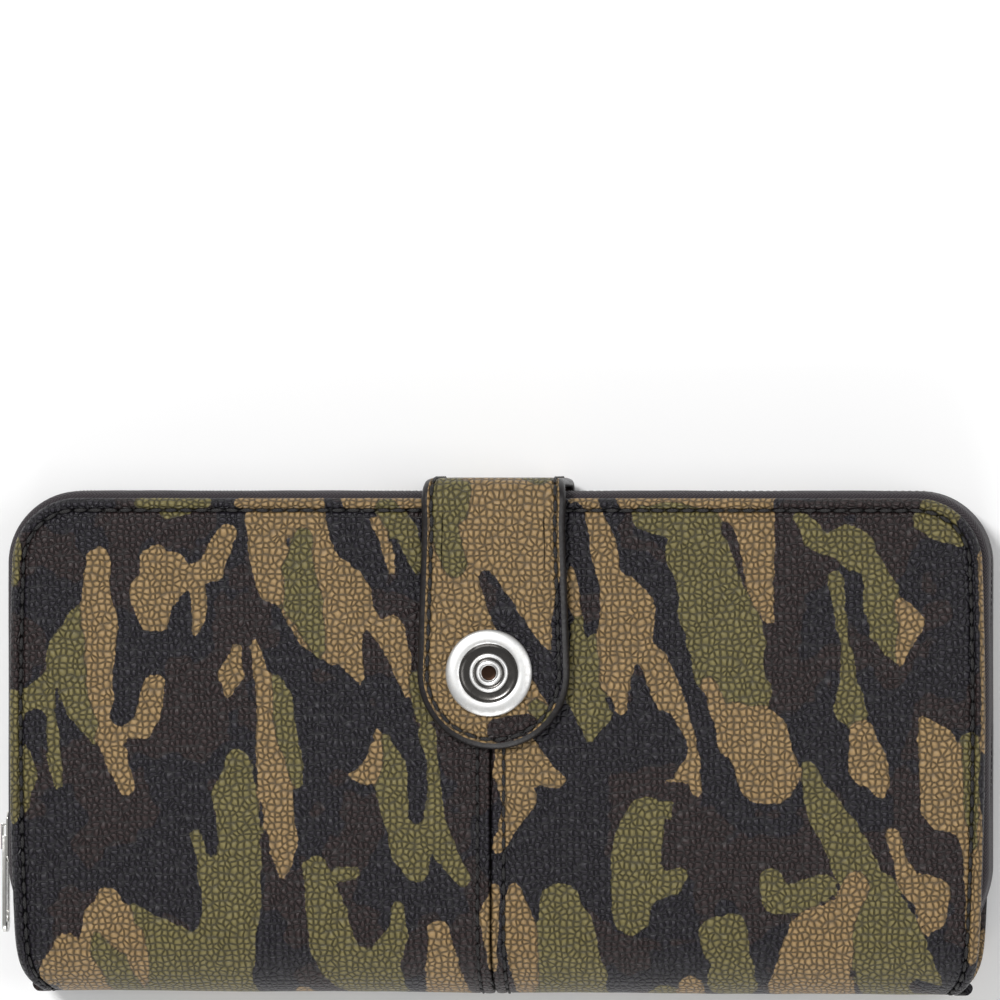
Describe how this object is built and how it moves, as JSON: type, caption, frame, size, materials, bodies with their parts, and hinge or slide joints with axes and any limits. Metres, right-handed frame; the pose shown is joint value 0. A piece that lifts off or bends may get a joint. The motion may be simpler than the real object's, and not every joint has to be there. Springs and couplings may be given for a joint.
{
  "type": "zip-around trifold wallet",
  "caption": "Clutch-size leather wallet with a camouflage cover, a zip round three sides, a coin pocket leaf inside and a strap with a round metal snap.",
  "frame": {"origin": "middle of the back cover's outer face, on which the closed wallet lies", "axes": "+X along the wallet, +Y from the spine to the zipped edge, +Z out of the front cover"},
  "size_m": [0.1979, 0.1019, 0.0293],
  "materials": {
    "outer_leather": "pebbled, camouflage print in near black, brown, olive and tan",
    "strap_lining": "smooth black leather with painted edges",
    "pocket_leather": "fine grained black leather",
    "lining": "black woven lining",
    "zip_tape": "dark grey herringbone tape",
    "zip_teeth": "black coil",
    "zip_metal": "polished nickel",
    "snap_metal": "polished nickel",
    "board": "stiffening board",
    "window": "clear film"
  },
  "bodies": {
    "back": {"back_board": "board", "back_card_pocket_left_1": "pocket_leather", "back_card_pocket_left_2": "pocket_leather", "back_card_pocket_left_3": "pocket_leather", "back_card_pocket_right_1": "pocket_leather", "back_card_pocket_right_2": "pocket_leather", "back_card_pocket_right_3": "pocket_leather", "back_leather_left": "outer_leather", "back_leather_right": "outer_leather", "back_lining": "lining", "back_slip_pocket": "pocket_leather", "tab_root": "strap_lining", "zip_coil_back": "zip_teeth", "zip_tape_back": "zip_tape"},
    "spine": {"coin_pocket_back_panel": "pocket_leather", "coin_pocket_front_panel": "pocket_leather", "coin_pocket_gusset": "lining", "coin_zip_coil_back": "zip_teeth", "coin_zip_coil_front": "zip_teeth", "coin_zip_stops": "zip_metal", "coin_zip_tape_back": "zip_tape", "coin_zip_tape_front": "zip_tape", "leaf_root_strip": "lining", "spine_leather_left": "outer_leather", "spine_leather_right": "outer_leather", "spine_lining": "lining"},
    "front": {"front_board": "board", "front_card_pocket_right_1": "pocket_leather", "front_card_pocket_right_2": "pocket_leather", "front_card_pocket_right_3": "pocket_leather", "front_id_pocket": "pocket_leather", "front_id_window": "window", "front_leather_left": "outer_leather", "front_leather_right": "outer_leather", "front_lining": "lining", "front_slip_pocket": "pocket_leather", "snap_stud": "snap_metal", "snap_stud_rivet": "snap_metal", "zip_coil_front": "zip_teeth", "zip_tape_front": "zip_tape"},
    "tab_bridge": {"tab_bridge_leather": "outer_leather", "tab_bridge_lining": "strap_lining"},
    "tab_tongue": {"tab_tongue_leather": "outer_leather", "tab_tongue_lining": "strap_lining", "snap_cap": "snap_metal", "snap_rivet": "snap_metal", "snap_socket": "snap_metal"},
    "zip_slider": {"zip_slider": "zip_metal"},
    "zip_pull": {"zip_pull": "zip_metal"},
    "coin_slider": {"coin_zip_slider": "zip_metal"},
    "coin_pull": {"coin_zip_pull": "zip_metal"}
  },
  "joints": [
    {"name": "spine_fold", "type": "hinge", "parent": "back", "child": "spine", "pos_m": [0, -0.04632, 0.00268], "axis": [1, 0, 0], "range_deg": [0, 80]},
    {"name": "front_fold", "type": "hinge", "parent": "spine", "child": "front", "pos_m": [0, -0.04632, 0.02232], "axis": [1, 0, 0], "range_deg": [0, 80]},
    {"name": "tab_root_fold", "type": "hinge", "parent": "front", "child": "tab_bridge", "pos_m": [0, 0.05193, 0.00157], "axis": [-1, 0, 0], "range_deg": [0, 80]},
    {"name": "tab_tongue_fold", "type": "hinge", "parent": "tab_bridge", "child": "tab_tongue", "pos_m": [0, 0.05158, 0.02668], "axis": [-1, 0, 0], "range_deg": [0, 80]},
    {"name": "zip_slide", "type": "slide", "parent": "back", "child": "zip_slider", "axis": [0, 1, 0], "range_m": [0, 0.049]},
    {"name": "zip_pull_swing", "type": "hinge", "parent": "zip_slider", "child": "zip_pull", "pos_m": [-0.099, -0.0185, 0.0125], "axis": [0, 0, -1], "range_deg": [0, 180]},
    {"name": "coin_zip_slide", "type": "slide", "parent": "spine", "child": "coin_slider", "axis": [1, 0, 0], "range_m": [0, 0.144]},
    {"name": "coin_pull_swing", "type": "hinge", "parent": "coin_slider", "child": "coin_pull", "pos_m": [-0.072, 0.03115, 0.0125], "axis": [0, 0, -1], "range_deg": [0, 180]}
  ],
  "couplings": [
    {"joint": "front_fold", "follows": "spine_fold", "ratio": 1}
  ]
}
